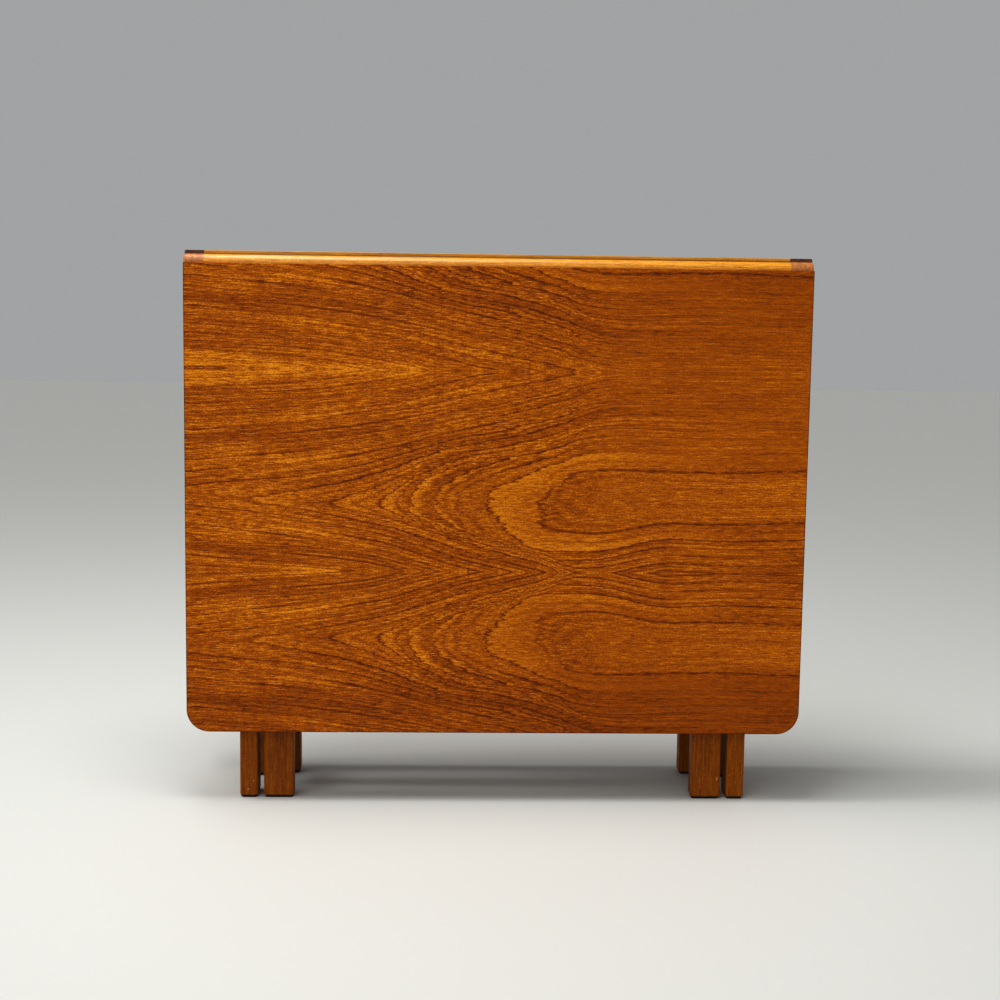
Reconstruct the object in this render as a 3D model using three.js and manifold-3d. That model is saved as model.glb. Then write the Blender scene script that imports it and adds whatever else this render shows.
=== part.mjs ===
// A gateleg drop leaf table with a narrow centre board, folded: two long leaves hang at front and rear.
// Millimetres, +Z up, the front faces -Y and X runs along the table. The origin is on the floor, at
// the middle of the table. Apart from the two end bands' lengths, the rear side is the front side
// turned half a turn about the Z axis.
import * as THREE from "three";
import { mergeVertices } from "three/addons/utils/BufferGeometryUtils.js";
import Module from "manifold-3d";

const wasm = await Module();
wasm.setup();

// ---- Overall sizes ----
const TABLE_HEIGHT = 730;
const TOP_LENGTH = 818;
const FOLDED_DEPTH = 184; // between the outer faces of the hanging leaves
const TOP_THICKNESS = 18;
const LEAF_FLOOR_GAP = 95.7; // under a hanging leaf
const TOP_OVERHANG = 68; // from the end of the top to the fixed legs

// ---- Boards ----
const LEAF_CORNER_RADIUS = 30;
const LEAF_EDGE_LIPPING = 8;
const RULE_LIPPING_WIDTH = 26; // wood behind each moulded edge
// The dark hardwood at the two ends of the centre board is not quite the same length.
const LEFT_BAND_LENGTH = 25.5;
const RIGHT_BAND_LENGTH = 29.5;
const GLUE_LINE = 0.1;
const CORNER_STEPS = 12;

// ---- Rule joint: a fillet and an ovolo on the centre board, a cove on the leaf ----
const FILLET_HEIGHT = 4.4;
const OVOLO_RADIUS = 10.9;
const COVE_CLEARANCE = 0.6;
const FILLET_CLEARANCE = 0.4;
const ARC_STEPS = 16;

// ---- Back-flap hinges between the centre board and each leaf ----
const FLAP_HINGE_FROM_END = 179; // from the end of the top to the middle of a hinge
const FLAP_HINGE_WIDTH = 38;
const FIXED_FLAP_LENGTH = 34;
const MOVING_FLAP_LENGTH = 54;
const FLAP_THICKNESS = 1.8;
const FLAP_BELOW_PIN = 2.7; // from the pin's axis to the flap's outer face
const FLAP_KNUCKLE_RADIUS = 3;
const FLAP_KNUCKLES = 5;
const KNUCKLE_GAP = 0.3;
const FLAP_ROOT_GAP = 0.6; // between a knuckle and the other flap's edge
const FLAP_PIN_RADIUS = 1.5;
const PIN_CLEARANCE = 0.08;
const SCREW_HOLE_RADIUS = 2.1;
const SCREW_HOLE_FROM_EDGE = 6.3;
const SCREW_HOLE_SIDES = 16;
const RECESS_CLEARANCE = 0.3;

// ---- Legs and rails ----
const LEG_THICKNESS = 24; // fixed legs, along X
const LEG_DEPTH = 40; // fixed legs, along Y
const GATE_LEG_WIDTH = 40;
const GATE_LEG_THICKNESS = 26;
const GATE_SIDE_GAP = 8; // between a fixed leg and the gate's leg beside it
const LEG_EDGE_RADIUS = 2.5;
const LEG_EDGE_STEPS = 5;
const LEAF_TO_LEG_CLEARANCE = 1.2;
const GATE_TOP_CLEARANCE = 1.2;
const TOP_RAIL_HEIGHT = 60;
const BOTTOM_RAIL_HEIGHT = 40;
const BOTTOM_RAIL_UNDERSIDE = 104; // above the floor
const RAIL_THICKNESS = 22;
const LONG_RAIL_THICKNESS = 24;
const STRETCHER_WIDTH = 30;
const STRETCHER_THICKNESS = 24;
const TENON_DEPTH = 20;
const TENON_THICKNESS = 9;
const TENON_SHOULDER = 6; // at a tenon's upper and lower edges
const TENON_FIT = 0.1;
const CROSS_TENON_DEPTH = 12;

// ---- Gate hinges, glides and stops ----
const BUTT_LENGTH = 60;
const BUTT_PLATE_THICKNESS = 1.5;
const BUTT_PLATE_WIDTH = 17;
const BUTT_KNUCKLE_RADIUS = 3.5;
const BUTT_KNUCKLES = 3;
const BUTT_PIN_RADIUS = 1.8;
const BUTT_HIGH_FROM_TOP = 120; // from the gate's top to the middle of its upper hinge
const BUTT_LOW_ABOVE_RAIL = 60; // from the bottom rail to the middle of the lower hinge
const GLIDE_THICKNESS = 3;
const GLIDE_INSET = 1.5;
const GLIDE_CORNER_RADIUS = 4;
const SUPPORT_FROM_EDGE = 112; // from a raised leaf's free edge to the open gate's outer leg
const WIDEST_GATE_ANGLE = 80; // degrees
const STOP_LENGTH = 44;
const STOP_WIDTH = 16;
const STOP_THICKNESS = 9;
const STOP_TO_LEG = 10; // along the open gate

// ---- How the solids are made ----
const PAST = 1; // how far a cutter runs past what it cuts
const ROD_SIDES = 24;
const WELD_DISTANCE = 1e-4;

// ---- Places that follow from the sizes ----
const PIN_BELOW_TOP = FILLET_HEIGHT + OVOLO_RADIUS;
const PIN_Z = TABLE_HEIGHT - PIN_BELOW_TOP;
const PIN_Y = -(FOLDED_DEPTH / 2 - PIN_BELOW_TOP);
const LEAF_DROP = PIN_Z - LEAF_FLOOR_GAP; // from the hinge pins to a leaf's free edge
const UNDERSIDE = PIN_BELOW_TOP - TOP_THICKNESS; // of the boards, from the pin's axis
const COVE_RADIUS = OVOLO_RADIUS + COVE_CLEARANCE;
const UNDERSIDE_Z = TABLE_HEIGHT - TOP_THICKNESS;
const LEG_TOP_Z = UNDERSIDE_Z - GLUE_LINE;
const GATE_TOP_Z = Math.min(UNDERSIDE_Z, PIN_Z - FLAP_KNUCKLE_RADIUS) - GATE_TOP_CLEARANCE;
const LEG_FACE_Y = PIN_Y + Math.max(-UNDERSIDE, FLAP_KNUCKLE_RADIUS) + LEAF_TO_LEG_CLEARANCE;
const LEG_OUTER_FACE = TOP_LENGTH / 2 - TOP_OVERHANG;
const LEG_INNER_FACE = LEG_OUTER_FACE - LEG_THICKNESS;
const LEG_CENTRE_X = LEG_OUTER_FACE - LEG_THICKNESS / 2;
const LEG_BACK_Y = LEG_FACE_Y + LEG_DEPTH;
const GATE_BACK_Y = LEG_FACE_Y + GATE_LEG_THICKNESS;
const GATE_AXIS_X = -(LEG_INNER_FACE - GATE_SIDE_GAP / 2);
const GATE_AXIS_Y = LEG_FACE_Y + GATE_SIDE_GAP / 2;
const GATE_LEG_OUTER = LEG_INNER_FACE - GATE_SIDE_GAP;
const GATE_LEG_INNER = GATE_LEG_OUTER - GATE_LEG_WIDTH;
const BAND_INNER_X = [LEFT_BAND_LENGTH - TOP_LENGTH / 2, TOP_LENGTH / 2 - RIGHT_BAND_LENGTH];
const BETWEEN_BANDS = [BAND_INNER_X[0] + GLUE_LINE, BAND_INNER_X[1] - GLUE_LINE];
const PANEL_EDGE_Y = PIN_Y + RULE_LIPPING_WIDTH;
const END_RAIL_INNER = LEG_CENTRE_X - RAIL_THICKNESS / 2;
const END_RAIL_OUTER = LEG_CENTRE_X + RAIL_THICKNESS / 2;
const GATE_REACH = GATE_LEG_INNER - GATE_AXIS_X; // from its hinges to its outer leg

// ---- Materials ----
const teak = new THREE.MeshStandardMaterial({ color: 0x96500f, roughness: 0.42, metalness: 0 });
const solidTeak = new THREE.MeshStandardMaterial({ color: 0x7d4311, roughness: 0.5, metalness: 0 });
const rosewood = new THREE.MeshStandardMaterial({ color: 0x2a0f0c, roughness: 0.38, metalness: 0 });
const brass = new THREE.MeshStandardMaterial({ color: 0xa98540, roughness: 0.4, metalness: 0.9 });
const steel = new THREE.MeshStandardMaterial({ color: 0x8f8c86, roughness: 0.4, metalness: 0.9 });
const blackPlastic = new THREE.MeshStandardMaterial({ color: 0x141210, roughness: 0.6 });

// ---- Solids ----
function solid(geometry) {
  const bare = geometry.index ? geometry.toNonIndexed() : geometry.clone();
  bare.deleteAttribute("normal");
  bare.deleteAttribute("uv");
  const merged = mergeVertices(bare, WELD_DISTANCE);
  return new wasm.Manifold(
    new wasm.Mesh({
      numProp: 3,
      vertProperties: merged.attributes.position.array,
      triVerts: new Uint32Array(merged.index.array),
    }),
  );
}

function geometryOf(shape) {
  const mesh = shape.getMesh();
  const geometry = new THREE.BufferGeometry();
  geometry.setAttribute("position", new THREE.BufferAttribute(mesh.vertProperties, 3));
  geometry.setIndex(new THREE.BufferAttribute(mesh.triVerts, 1));
  const faceted = geometry.toNonIndexed();
  faceted.computeVertexNormals();
  return faceted;
}

// The first shape joined with the others, then with the cutters taken away.
function carve(shapes, cutters = []) {
  const joined = shapes.map(solid).reduce((all, next) => all.add(next));
  return geometryOf(cutters.map(solid).reduce((rest, cutter) => rest.subtract(cutter), joined));
}

function box(xs, ys, zs) {
  const middle = (pair) => (pair[0] + pair[1]) / 2;
  const size = (pair) => Math.abs(pair[1] - pair[0]);
  return new THREE.BoxGeometry(size(xs), size(ys), size(zs)).translate(
    middle(xs),
    middle(ys),
    middle(zs),
  );
}

function roundedOutline(xs, ys, radius, steps) {
  const corners = [
    [xs[1] - radius, ys[1] - radius, 0],
    [xs[0] + radius, ys[1] - radius, 1],
    [xs[0] + radius, ys[0] + radius, 2],
    [xs[1] - radius, ys[0] + radius, 3],
  ];
  const points = corners.flatMap(([x, y, quarter]) =>
    Array.from({ length: steps + 1 }, (_, i) => {
      const angle = ((quarter + i / steps) * Math.PI) / 2;
      return new THREE.Vector2(x + radius * Math.cos(angle), y + radius * Math.sin(angle));
    }),
  );
  return new THREE.Shape(points);
}

// An upright of rectangular section with rounded arrises.
function post(xs, ys, zs, radius = LEG_EDGE_RADIUS) {
  const depth = zs[1] - zs[0];
  const settings = { depth, bevelEnabled: false };
  const outline = roundedOutline(xs, ys, radius, LEG_EDGE_STEPS);
  return new THREE.ExtrudeGeometry(outline, settings).translate(0, 0, zs[0]);
}

// A section drawn in Y and Z, run along X.
function runAlongX(outline, xs) {
  const settings = { depth: xs[1] - xs[0], bevelEnabled: false };
  const toWorld = new THREE.Matrix4().makeBasis(
    new THREE.Vector3(0, 1, 0),
    new THREE.Vector3(0, 0, 1),
    new THREE.Vector3(1, 0, 0),
  );
  const run = new THREE.ExtrudeGeometry(outline, settings);
  return run.applyMatrix4(toWorld).translate(xs[0], 0, 0);
}

function rodAlongX(radius, xs, y, z) {
  const rod = new THREE.CylinderGeometry(radius, radius, xs[1] - xs[0], ROD_SIDES);
  return rod.rotateZ(Math.PI / 2).translate((xs[0] + xs[1]) / 2, y, z);
}

function rodAlongZ(radius, x, y, zs, sides = ROD_SIDES) {
  const rod = new THREE.CylinderGeometry(radius, radius, zs[1] - zs[0], sides);
  return rod.rotateX(Math.PI / 2).translate(x, y, (zs[0] + zs[1]) / 2);
}

// A box grown by the same amount on every side.
function grown(ranges, by) {
  return box(...ranges.map(([low, high]) => [low - by, high + by]));
}

function node(name, geometry, material) {
  const mesh = new THREE.Mesh(geometry, material);
  mesh.name = name;
  return mesh;
}

// ---- Rule joint sections, from the pin's axis: y is negative outwards, z is up ----
function arc(radius, from, to) {
  return Array.from({ length: ARC_STEPS + 1 }, (_, i) => {
    const angle = from + ((to - from) * i) / ARC_STEPS;
    return new THREE.Vector2(-radius * Math.cos(angle), radius * Math.sin(angle));
  });
}

// The edge of the centre board: top surface, fillet, ovolo, underside.
function ovoloEdge() {
  const lowest = Math.asin(THREE.MathUtils.clamp(UNDERSIDE / OVOLO_RADIUS, -1, 1));
  const edge = arc(OVOLO_RADIUS, Math.PI / 2, lowest);
  edge[edge.length - 1].y = UNDERSIDE;
  return [new THREE.Vector2(0, PIN_BELOW_TOP), ...edge];
}

function ruleLippingOutline() {
  const back = RULE_LIPPING_WIDTH - GLUE_LINE;
  return new THREE.Shape([
    ...ovoloEdge(),
    new THREE.Vector2(back, UNDERSIDE),
    new THREE.Vector2(back, PIN_BELOW_TOP),
  ]);
}

// The whole centre board's section, moulded on both edges, in world Y and Z.
function centreBoardOutline() {
  const front = ovoloEdge().map((p) => new THREE.Vector2(p.x + PIN_Y, p.y + PIN_Z));
  const rear = front.map((p) => new THREE.Vector2(-p.x, p.y)).reverse();
  return new THREE.Shape([...front, ...rear]);
}

// The hanging leaf's upper edge: a lip outside the ovolo and a cove under it.
function leafEdgeOutline(low) {
  const start = Math.asin(-FILLET_CLEARANCE / COVE_RADIUS);
  const end = -Math.PI / 2 - Math.asin(-UNDERSIDE / COVE_RADIUS);
  return new THREE.Shape([
    new THREE.Vector2(-PIN_BELOW_TOP, low),
    new THREE.Vector2(-PIN_BELOW_TOP, -FILLET_CLEARANCE),
    ...arc(COVE_RADIUS, start, end),
    new THREE.Vector2(-UNDERSIDE, low),
  ]);
}

// ---- Back-flap hinges, from the pin's axis: one flap let into the board, one into the leaf ----
function knuckleRanges(middle, length, count, mine) {
  const pitch = length / count;
  const ranges = Array.from({ length: count }, (_, i) => {
    const start = middle - length / 2 + i * pitch;
    return [start + KNUCKLE_GAP / 2, start + pitch - KNUCKLE_GAP / 2];
  });
  return ranges.filter((_, i) => i % 2 === mine);
}

// A flap lies flat under the pin's axis and runs from it along Y, inwards (1) or outwards (-1).
function backFlap(x, length, mine, way) {
  const root = FLAP_KNUCKLE_RADIUS + FLAP_ROOT_GAP;
  const zs = [-FLAP_BELOW_PIN, FLAP_THICKNESS - FLAP_BELOW_PIN];
  const half = FLAP_HINGE_WIDTH / 2;
  const plate = box([x - half, x + half], [way * root, way * length], zs);
  const knuckles = knuckleRanges(x, FLAP_HINGE_WIDTH, FLAP_KNUCKLES, mine).flatMap((xs) => [
    rodAlongX(FLAP_KNUCKLE_RADIUS, xs, 0, 0),
    box(xs, [way * FLAP_PIN_RADIUS, way * (root + PAST)], zs),
  ]);
  const bore = rodAlongX(FLAP_PIN_RADIUS + PIN_CLEARANCE, [x - half - PAST, x + half + PAST], 0, 0);
  const holes = screwPlaces(x, length).map(([hx, hy]) =>
    rodAlongZ(SCREW_HOLE_RADIUS, hx, way * hy, [zs[0] - PAST, zs[1] + PAST], SCREW_HOLE_SIDES),
  );
  return carve([plate, ...knuckles], [bore, ...holes]);
}

// Two screws near the pin and one near the flap's end.
function screwPlaces(x, length) {
  const near = FLAP_KNUCKLE_RADIUS + FLAP_ROOT_GAP + SCREW_HOLE_FROM_EDGE;
  const side = FLAP_HINGE_WIDTH / 2 - SCREW_HOLE_FROM_EDGE;
  return [
    [x - side, near],
    [x + side, near],
    [x, length - SCREW_HOLE_FROM_EDGE],
  ];
}

// What the board loses: room for the fixed flap, for the knuckles, and for the moving flap
// when the leaf is up.
function boardRecess(x) {
  const half = FLAP_HINGE_WIDTH / 2 + RECESS_CLEARANCE;
  const xs = [x - half, x + half];
  const below = Math.min(UNDERSIDE, -FLAP_BELOW_PIN) - PAST;
  const plateTop = FLAP_THICKNESS - FLAP_BELOW_PIN + RECESS_CLEARANCE;
  const bore = FLAP_KNUCKLE_RADIUS + RECESS_CLEARANCE;
  return [
    box(xs, [-OVOLO_RADIUS - PAST, FIXED_FLAP_LENGTH + RECESS_CLEARANCE], [below, plateTop]),
    box(xs, [-bore, bore], [below, 0]),
    rodAlongX(bore, xs, 0, 0),
  ];
}

// What the hanging leaf loses: room for the moving flap.
function leafRecess(x) {
  const half = FLAP_HINGE_WIDTH / 2 + RECESS_CLEARANCE;
  const inner = Math.max(-UNDERSIDE, FLAP_BELOW_PIN) + PAST;
  const outer = FLAP_BELOW_PIN - FLAP_THICKNESS - RECESS_CLEARANCE;
  return box([x - half, x + half], [outer, inner], [-MOVING_FLAP_LENGTH - RECESS_CLEARANCE, 0]);
}

const FLAP_HINGES = [
  ["left", FLAP_HINGE_FROM_END - TOP_LENGTH / 2],
  ["right", TOP_LENGTH / 2 - FLAP_HINGE_FROM_END],
];

// ---- Rails and the mortises that take their tenons ----
function tenonRange(zs) {
  return [zs[0] + TENON_SHOULDER, zs[1] - TENON_SHOULDER];
}

// A rail along X between two uprights, with a tenon at each end.
function railAlongX(xs, ys, zs, depth) {
  const middle = (ys[0] + ys[1]) / 2;
  const tenon = [middle - TENON_THICKNESS / 2, middle + TENON_THICKNESS / 2];
  const body = box([xs[0] + GLUE_LINE, xs[1] - GLUE_LINE], ys, zs);
  return carve([body, box([xs[0] - depth, xs[1] + depth], tenon, tenonRange(zs))]);
}

// A rail along Y between two uprights, with a tenon at each end.
function railAlongY(xs, ys, zs, depth, cutters) {
  const middle = (xs[0] + xs[1]) / 2;
  const tenon = [middle - TENON_THICKNESS / 2, middle + TENON_THICKNESS / 2];
  const body = box(xs, [ys[0] + GLUE_LINE, ys[1] - GLUE_LINE], zs);
  const tongue = box(tenon, [ys[0] - depth, ys[1] + depth], tenonRange(zs));
  return carve([body, tongue], cutters);
}

// ---- The heights of the rails ----
const FRAME_TOP_RAIL_Z = [LEG_TOP_Z - TOP_RAIL_HEIGHT, LEG_TOP_Z];
const GATE_TOP_RAIL_Z = [GATE_TOP_Z - TOP_RAIL_HEIGHT, GATE_TOP_Z];
const BOTTOM_RAIL_Z = [BOTTOM_RAIL_UNDERSIDE, BOTTOM_RAIL_UNDERSIDE + BOTTOM_RAIL_HEIGHT];
const STRETCHER_Z = [
  (BOTTOM_RAIL_Z[0] + BOTTOM_RAIL_Z[1] - STRETCHER_THICKNESS) / 2,
  (BOTTOM_RAIL_Z[0] + BOTTOM_RAIL_Z[1] + STRETCHER_THICKNESS) / 2,
];
const GATE_RAIL_Y = [
  (LEG_FACE_Y + GATE_BACK_Y - RAIL_THICKNESS) / 2,
  (LEG_FACE_Y + GATE_BACK_Y + RAIL_THICKNESS) / 2,
];

// ---- The centre board ----
function centreBoard() {
  const group = new THREE.Group();
  const recesses = FLAP_HINGES.flatMap(([, x]) =>
    boardRecess(x).flatMap((cutter) => [
      cutter.clone().translate(0, PIN_Y, PIN_Z),
      cutter.clone().translate(0, PIN_Y, PIN_Z).rotateZ(Math.PI),
    ]),
  );
  const slab = box(BETWEEN_BANDS, [PANEL_EDGE_Y, -PANEL_EDGE_Y], [UNDERSIDE_Z, TABLE_HEIGHT]);
  group.add(node("centre_panel", carve([slab], recesses), teak));
  const outline = centreBoardOutline();
  const half = TOP_LENGTH / 2;
  group.add(node("left_end_band", runAlongX(outline, [-half, BAND_INNER_X[0]]), rosewood));
  group.add(node("right_end_band", runAlongX(outline, [BAND_INNER_X[1], half]), rosewood));
  return group;
}

// ---- One long side of the top: moulded lipping, hinges and leaf, from the pin's axis ----
function leafPanelOutline(inset) {
  const half = TOP_LENGTH / 2 - inset;
  const bottom = -LEAF_DROP + inset;
  const radius = LEAF_CORNER_RADIUS - inset;
  const top = leafPanelTop();
  const outline = new THREE.Shape();
  outline.moveTo(-half, top);
  outline.lineTo(-half, bottom + radius);
  outline.absarc(-half + radius, bottom + radius, radius, Math.PI, 1.5 * Math.PI, false);
  outline.lineTo(half - radius, bottom);
  outline.absarc(half - radius, bottom + radius, radius, 1.5 * Math.PI, 2 * Math.PI, false);
  outline.lineTo(half, top);
  return outline;
}

function leafPanelTop() {
  return -RULE_LIPPING_WIDTH - GLUE_LINE;
}

// A flat outline in X and Z, as thick as the leaf, in its hanging place.
function hangingBoard(outline) {
  const settings = {
    depth: TOP_THICKNESS,
    bevelEnabled: false,
    curveSegments: CORNER_STEPS,
  };
  const board = new THREE.ExtrudeGeometry(outline, settings);
  return board.rotateX(Math.PI / 2).translate(0, -UNDERSIDE, 0);
}

function leafEdgeLipping() {
  const whole = hangingBoard(leafPanelOutline(0));
  const inside = leafPanelOutline(LEAF_EDGE_LIPPING);
  const settings = {
    depth: TOP_THICKNESS + 2 * PAST,
    bevelEnabled: false,
    curveSegments: CORNER_STEPS,
  };
  const core = new THREE.ExtrudeGeometry(inside, settings).rotateX(Math.PI / 2);
  const past = box(
    [LEAF_EDGE_LIPPING - TOP_LENGTH / 2, TOP_LENGTH / 2 - LEAF_EDGE_LIPPING],
    [-PIN_BELOW_TOP - PAST, PAST - UNDERSIDE],
    [leafPanelTop() - PAST, leafPanelTop() + PAST],
  );
  return carve([whole], [core.translate(0, PAST - UNDERSIDE, 0), past]);
}

// How far the gate swings before its outer leg is under the right part of the raised leaf.
function gateOpenAngle() {
  const widest = THREE.MathUtils.degToRad(WIDEST_GATE_ANGLE);
  const reach = (LEAF_DROP - SUPPORT_FROM_EDGE) / (GATE_REACH + GATE_LEG_WIDTH / 2);
  return Math.asin(Math.min(reach, Math.sin(widest)));
}

// The block that the open gate's top rail comes to rest against, on the leaf's underside.
function gateStop() {
  const open = gateOpenAngle();
  const reach = GATE_REACH - STOP_TO_LEG - STOP_LENGTH / 2;
  const side = GATE_RAIL_Y[0] - GATE_AXIS_Y - STOP_WIDTH / 2;
  const x = GATE_AXIS_X + reach * Math.cos(open) + side * Math.sin(open);
  const y = GATE_AXIS_Y - reach * Math.sin(open) + side * Math.cos(open);
  const inner = -UNDERSIDE + GLUE_LINE;
  const across = [-STOP_WIDTH / 2, STOP_WIDTH / 2];
  const block = box([-STOP_LENGTH / 2, STOP_LENGTH / 2], [0, STOP_THICKNESS], across);
  return block.rotateY(open).translate(x, inner, y - PIN_Y);
}

function topSide(side) {
  const group = new THREE.Group();
  group.position.set(0, PIN_Y, PIN_Z);
  const turned = BETWEEN_BANDS.map((x) => -x).reverse();
  const lippingX = side === "front" ? BETWEEN_BANDS : turned;
  const lipping = runAlongX(ruleLippingOutline(), lippingX);
  const recesses = FLAP_HINGES.flatMap(([, x]) => boardRecess(x));
  group.add(node(side + "_rule_lipping", carve([lipping], recesses), solidTeak));

  const leafCuts = FLAP_HINGES.map(([, x]) => leafRecess(x));
  const wholeX = [-TOP_LENGTH / 2, TOP_LENGTH / 2];
  const edge = runAlongX(leafEdgeOutline(-RULE_LIPPING_WIDTH), wholeX);
  group.add(node(side + "_leaf_rule_lipping", carve([edge], leafCuts), solidTeak));
  const panel = hangingBoard(leafPanelOutline(LEAF_EDGE_LIPPING + GLUE_LINE));
  group.add(node(side + "_leaf_panel", carve([panel], leafCuts), teak));
  group.add(node(side + "_leaf_edge_lipping", leafEdgeLipping(), solidTeak));
  group.add(node(side + "_leaf_gate_stop", gateStop(), solidTeak));

  for (const [hand, x] of FLAP_HINGES) {
    const name = side + "_" + hand + "_flap_hinge";
    const xs = [x - FLAP_HINGE_WIDTH / 2, x + FLAP_HINGE_WIDTH / 2];
    const hanging = backFlap(x, MOVING_FLAP_LENGTH, 1, -1).rotateX(Math.PI / 2);
    group.add(node(name + "_fixed_flap", backFlap(x, FIXED_FLAP_LENGTH, 0, 1), brass));
    group.add(node(name + "_moving_flap", hanging, brass));
    group.add(node(name + "_pin", rodAlongX(FLAP_PIN_RADIUS, xs, 0, 0), steel));
  }
  return group;
}

// ---- The fixed frame: two end frames, a long rail under the top and a stretcher ----
function fixedLeg(xSign, ySign) {
  const xs = [LEG_INNER_FACE, LEG_OUTER_FACE].map((x) => x * xSign).sort((a, b) => a - b);
  const ys = [LEG_FACE_Y, LEG_BACK_Y].map((y) => -y * ySign).sort((a, b) => a - b);
  const middle = (xs[0] + xs[1]) / 2;
  const back = -LEG_BACK_Y * ySign;
  const mouth = back - ySign * PAST;
  const deep = back + ySign * TENON_DEPTH;
  const mortises = [FRAME_TOP_RAIL_Z, BOTTOM_RAIL_Z].map((zs) =>
    grown(
      [
        [middle - TENON_THICKNESS / 2, middle + TENON_THICKNESS / 2],
        [Math.min(mouth, deep), Math.max(mouth, deep)],
        tenonRange(zs),
      ],
      TENON_FIT,
    ),
  );
  return carve([post(xs, ys, [GLIDE_THICKNESS, LEG_TOP_Z])], mortises);
}

// The mortise in an end rail's inner face for what runs along the table.
function crossMortise(xSign, zs) {
  const faces = [END_RAIL_INNER - PAST, END_RAIL_INNER + CROSS_TENON_DEPTH];
  const xs = faces.map((x) => x * xSign).sort((a, b) => a - b);
  const tenon = [-TENON_THICKNESS / 2, TENON_THICKNESS / 2];
  return grown([xs, tenon, tenonRange(zs)], TENON_FIT);
}

function endFrame(hand, xSign) {
  const group = new THREE.Group();
  const name = hand + "_end";
  group.add(node(name + "_front_leg", fixedLeg(xSign, -1), solidTeak));
  group.add(node(name + "_rear_leg", fixedLeg(xSign, 1), solidTeak));
  const xs = [END_RAIL_INNER, END_RAIL_OUTER].map((x) => x * xSign).sort((a, b) => a - b);
  const ys = [LEG_BACK_Y, -LEG_BACK_Y];
  const depth = TENON_DEPTH - TENON_FIT;
  const top = railAlongY(xs, ys, FRAME_TOP_RAIL_Z, depth, [crossMortise(xSign, FRAME_TOP_RAIL_Z)]);
  const bottom = railAlongY(xs, ys, BOTTOM_RAIL_Z, depth, [crossMortise(xSign, STRETCHER_Z)]);
  group.add(node(name + "_top_rail", top, solidTeak));
  group.add(node(name + "_bottom_rail", bottom, solidTeak));
  return group;
}

function longMembers() {
  const group = new THREE.Group();
  const xs = [-END_RAIL_INNER, END_RAIL_INNER];
  const depth = CROSS_TENON_DEPTH - TENON_FIT;
  const railY = [-LONG_RAIL_THICKNESS / 2, LONG_RAIL_THICKNESS / 2];
  const stretcherY = [-STRETCHER_WIDTH / 2, STRETCHER_WIDTH / 2];
  const rail = railAlongX(xs, railY, FRAME_TOP_RAIL_Z, depth);
  const stretcher = railAlongX(xs, stretcherY, STRETCHER_Z, depth);
  group.add(node("long_top_rail", rail, solidTeak));
  group.add(node("lower_stretcher", stretcher, solidTeak));
  return group;
}

// ---- A gate, folded: its hinges are at the left end, seen from its own side ----
function gateLeg(xs, inner) {
  const outwards = Math.sign(inner);
  const mouth = inner - outwards * PAST;
  const deep = inner + outwards * TENON_DEPTH;
  const middle = (GATE_RAIL_Y[0] + GATE_RAIL_Y[1]) / 2;
  const mortises = [GATE_TOP_RAIL_Z, BOTTOM_RAIL_Z].map((zs) =>
    grown(
      [
        [Math.min(mouth, deep), Math.max(mouth, deep)],
        [middle - TENON_THICKNESS / 2, middle + TENON_THICKNESS / 2],
        tenonRange(zs),
      ],
      TENON_FIT,
    ),
  );
  return carve([post(xs, [LEG_FACE_Y, GATE_BACK_Y], [GLIDE_THICKNESS, GATE_TOP_Z])], mortises);
}

function gate(side) {
  const group = new THREE.Group();
  const stile = gateLeg([-GATE_LEG_OUTER, -GATE_LEG_INNER], -GATE_LEG_INNER);
  const leg = gateLeg([GATE_LEG_INNER, GATE_LEG_OUTER], GATE_LEG_INNER);
  const xs = [-GATE_LEG_INNER, GATE_LEG_INNER];
  const depth = TENON_DEPTH - TENON_FIT;
  const topRail = railAlongX(xs, GATE_RAIL_Y, GATE_TOP_RAIL_Z, depth);
  const bottomRail = railAlongX(xs, GATE_RAIL_Y, BOTTOM_RAIL_Z, depth);
  group.add(node(side + "_gate_hinge_stile", stile, solidTeak));
  group.add(node(side + "_gate_outer_leg", leg, solidTeak));
  group.add(node(side + "_gate_top_rail", topRail, solidTeak));
  group.add(node(side + "_gate_bottom_rail", bottomRail, solidTeak));
  const upper = GATE_TOP_Z - BUTT_HIGH_FROM_TOP;
  const lower = BOTTOM_RAIL_Z[1] + BUTT_LOW_ABOVE_RAIL;
  for (const [height, z] of [["upper", upper], ["lower", lower]]) {
    const name = side + "_gate_" + height + "_hinge";
    group.add(node(name + "_fixed_plate", buttPlate(z, 0), brass));
    group.add(node(name + "_moving_plate", buttPlate(z, 1), brass));
  }
  return group;
}

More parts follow.
